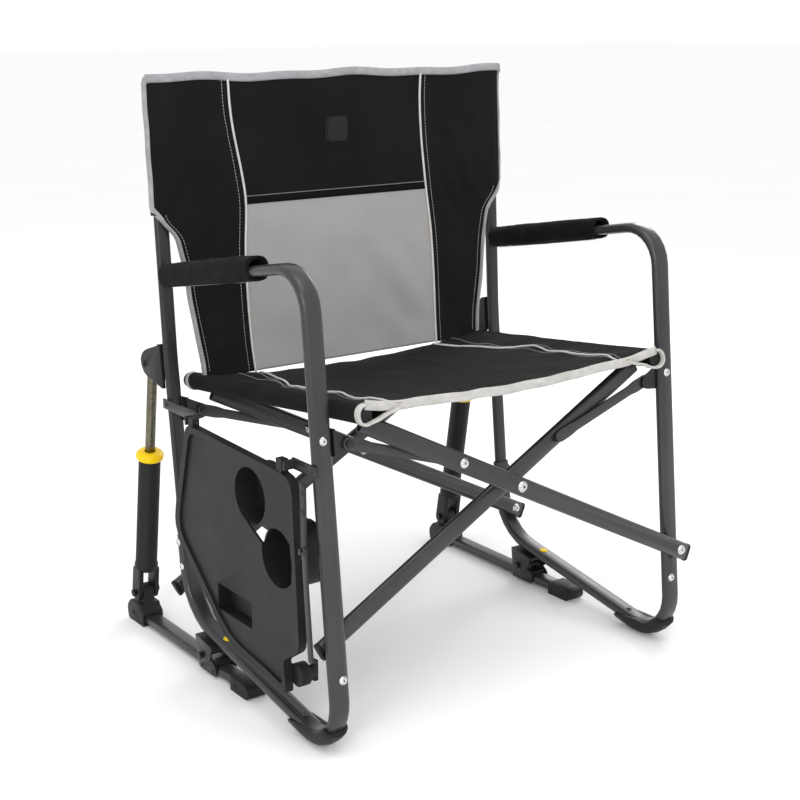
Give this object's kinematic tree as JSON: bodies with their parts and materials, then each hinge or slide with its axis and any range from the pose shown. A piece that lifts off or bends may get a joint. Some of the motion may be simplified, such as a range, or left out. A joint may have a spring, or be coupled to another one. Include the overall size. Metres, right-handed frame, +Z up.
{
  "type": "camp rocking chair",
  "caption": "Folding camp rocking chair with spring pistons, scissor frame, sling seat, padded arms and a fold-up side tray.",
  "frame": {"origin": "middle of the footprint on the floor, below the centre of the whole chair", "axes": "+Z up, the sitter faces -Y, the side tray hangs on the -X side"},
  "size_m": [0.6986, 0.6282, 0.8804],
  "materials": {
    "frame_tube": "semi-gloss dark gunmetal powder coat",
    "dark_steel": "black painted steel with bright rivets",
    "black_plastic": "satin black moulding",
    "tray_plastic": "fine grained charcoal moulding",
    "rod_steel": "dark polished olive grey",
    "yellow_plastic": "satin yellow moulding",
    "pad": "black foam sleeve in cloth",
    "cloth": "black woven polyester with a grey mesh panel and pale binding"
  },
  "bodies": {
    "left_runner": {"left_runner_tube": "frame_tube", "left_runner_cap": "black_plastic", "left_runner_bracket": "dark_steel", "left_knuckle": "black_plastic"},
    "left_frame": {"left_side_tube": "frame_tube", "left_back_post": "frame_tube", "left_arm_pad": "pad", "left_front_foot": "black_plastic", "left_pivot_dot": "yellow_plastic", "left_rocker_bracket": "dark_steel", "left_rod_bracket": "black_plastic", "left_front_hinge": "dark_steel", "left_rear_hinge": "dark_steel", "left_back_cloth": "cloth", "tray_front_hinge": "dark_steel", "tray_rear_hinge": "dark_steel"},
    "left_spring_cylinder": {"left_cylinder": "black_plastic", "left_piston_collar": "yellow_plastic"},
    "left_spring_rod": {"left_piston_rod": "rod_steel"},
    "scissor_a": {"front_cross_a": "frame_tube", "front_cross_a_plug": "black_plastic", "rear_cross_a": "frame_tube", "rear_cross_a_plug": "black_plastic", "left_seat_rail": "frame_tube", "left_rail_front_cap": "black_plastic", "left_rail_rear_cap": "black_plastic", "left_seat_cloth": "cloth"},
    "scissor_b": {"front_cross_b": "frame_tube", "front_cross_b_plug": "black_plastic", "rear_cross_b": "frame_tube", "rear_cross_b_plug": "black_plastic", "right_seat_rail": "frame_tube", "right_rail_front_cap": "black_plastic", "right_rail_rear_cap": "black_plastic", "right_seat_cloth": "cloth"},
    "right_frame": {"right_side_tube": "frame_tube", "right_back_post": "frame_tube", "right_arm_pad": "pad", "right_front_foot": "black_plastic", "right_pivot_dot": "yellow_plastic", "right_rocker_bracket": "dark_steel", "right_rod_bracket": "black_plastic", "right_front_hinge": "dark_steel", "right_rear_hinge": "dark_steel", "right_back_cloth": "cloth"},
    "right_runner": {"right_runner_tube": "frame_tube", "right_runner_cap": "black_plastic", "right_runner_bracket": "dark_steel", "right_knuckle": "black_plastic"},
    "right_spring_cylinder": {"right_cylinder": "black_plastic", "right_piston_collar": "yellow_plastic"},
    "right_spring_rod": {"right_piston_rod": "rod_steel"},
    "left_front_link_bar": {"left_front_link": "frame_tube"},
    "left_rear_link_bar": {"left_rear_link": "frame_tube"},
    "right_front_link_bar": {"right_front_link": "frame_tube"},
    "right_rear_link_bar": {"right_rear_link": "frame_tube"},
    "tray": {"side_tray": "tray_plastic", "tray_strap": "dark_steel", "tray_clip": "black_plastic"},
    "tray_brace_bar": {"tray_brace": "dark_steel"}
  },
  "joints": [
    {"name": "rock", "type": "hinge", "parent": "left_runner", "child": "left_frame", "pos_m": [-0.3112, 0.05057, 0.03], "axis": [-1, 0, 0], "range_deg": [0, 12], "stiffness_Nm_per_rad": 60},
    {"name": "fold", "type": "hinge", "parent": "left_frame", "child": "scissor_b", "pos_m": [-0.3112, -0.08162, 0.13952], "axis": [0, -0.9945, 0.1045], "range_deg": [0, 47.86], "deforming": ["left_seat_cloth", "right_seat_cloth", "left_back_cloth", "right_back_cloth"]},
    {"name": "scissor", "type": "hinge", "parent": "scissor_b", "child": "scissor_a", "pos_m": [0.0048, -0.06469, 0.30063], "axis": [0, -0.9945, 0.1045], "range_deg": [-95.74, 0]},
    {"name": "right_leg_pivot", "type": "hinge", "parent": "scissor_a", "child": "right_frame", "pos_m": [0.3208, -0.08162, 0.13952], "axis": [0, -0.9945, 0.1045], "range_deg": [0, 47.88]},
    {"name": "right_rock", "type": "hinge", "parent": "right_frame", "child": "right_runner", "pos_m": [0.3208, 0.05057, 0.03], "axis": [-1, 0, 0], "range_deg": [-12.02, 0]},
    {"name": "left_cylinder_swing", "type": "hinge", "parent": "left_runner", "child": "left_spring_cylinder", "pos_m": [-0.3112, 0.28157, 0.054], "axis": [-1, 0, 0], "range_deg": [0, 12.43]},
    {"name": "left_rod_stroke", "type": "slide", "parent": "left_spring_cylinder", "child": "left_spring_rod", "axis": [0, 0.1588, -0.9873], "range_m": [0, 0.04861]},
    {"name": "right_cylinder_swing", "type": "hinge", "parent": "right_runner", "child": "right_spring_cylinder", "pos_m": [0.3208, 0.28157, 0.054], "axis": [-1, 0, 0], "range_deg": [0, 12.43]},
    {"name": "right_rod_stroke", "type": "slide", "parent": "right_spring_cylinder", "child": "right_spring_rod", "axis": [0, 0.1588, -0.9873], "range_m": [0, 0.04861]},
    {"name": "left_front_link_swing", "type": "hinge", "parent": "left_frame", "child": "left_front_link_bar", "pos_m": [-0.2752, -0.25513, 0.43075], "axis": [0, -0.9945, 0.1045], "range_deg": [0, 99.71]},
    {"name": "left_rear_link_swing", "type": "hinge", "parent": "left_frame", "child": "left_rear_link_bar", "pos_m": [-0.2752, 0.14865, 0.38832], "axis": [0, -0.9945, 0.1045], "range_deg": [0, 99.71]},
    {"name": "right_front_link_swing", "type": "hinge", "parent": "right_frame", "child": "right_front_link_bar", "pos_m": [0.2848, -0.25513, 0.43075], "axis": [0, -0.9945, 0.1045], "range_deg": [-99.71, 0]},
    {"name": "right_rear_link_swing", "type": "hinge", "parent": "right_frame", "child": "right_rear_link_bar", "pos_m": [0.2848, 0.14865, 0.38832], "axis": [0, -0.9945, 0.1045], "range_deg": [-99.71, 0]},
    {"name": "tray_swing", "type": "hinge", "parent": "left_frame", "child": "tray", "pos_m": [-0.3377, -0.08043, 0.401], "axis": [0, 1, 0], "range_deg": [0, 90]},
    {"name": "tray_brace_swing", "type": "hinge", "parent": "tray", "child": "tray_brace_bar", "pos_m": [-0.3452, -0.26543, 0.294], "axis": [0, 1, 0], "range_deg": [-139.79, 0]}
  ],
  "couplings": [
    {"joint": "scissor", "follows": "fold", "ratio": -2},
    {"joint": "right_leg_pivot", "follows": "fold", "ratio": 1},
    {"joint": "right_rock", "follows": "rock", "ratio": -1},
    {"joint": "left_cylinder_swing", "follows": "rock", "ratio": 1.034},
    {"joint": "left_rod_stroke", "follows": "rock", "m_per_rad": 0.2316},
    {"joint": "right_cylinder_swing", "follows": "rock", "ratio": 1.034},
    {"joint": "right_rod_stroke", "follows": "rock", "m_per_rad": 0.2316},
    {"joint": "left_front_link_swing", "follows": "fold", "ratio": 2.083},
    {"joint": "left_rear_link_swing", "follows": "fold", "ratio": 2.083},
    {"joint": "right_front_link_swing", "follows": "fold", "ratio": -2.083},
    {"joint": "right_rear_link_swing", "follows": "fold", "ratio": -2.083},
    {"joint": "tray_brace_swing", "follows": "tray_swing", "ratio": -1.553}
  ]
}
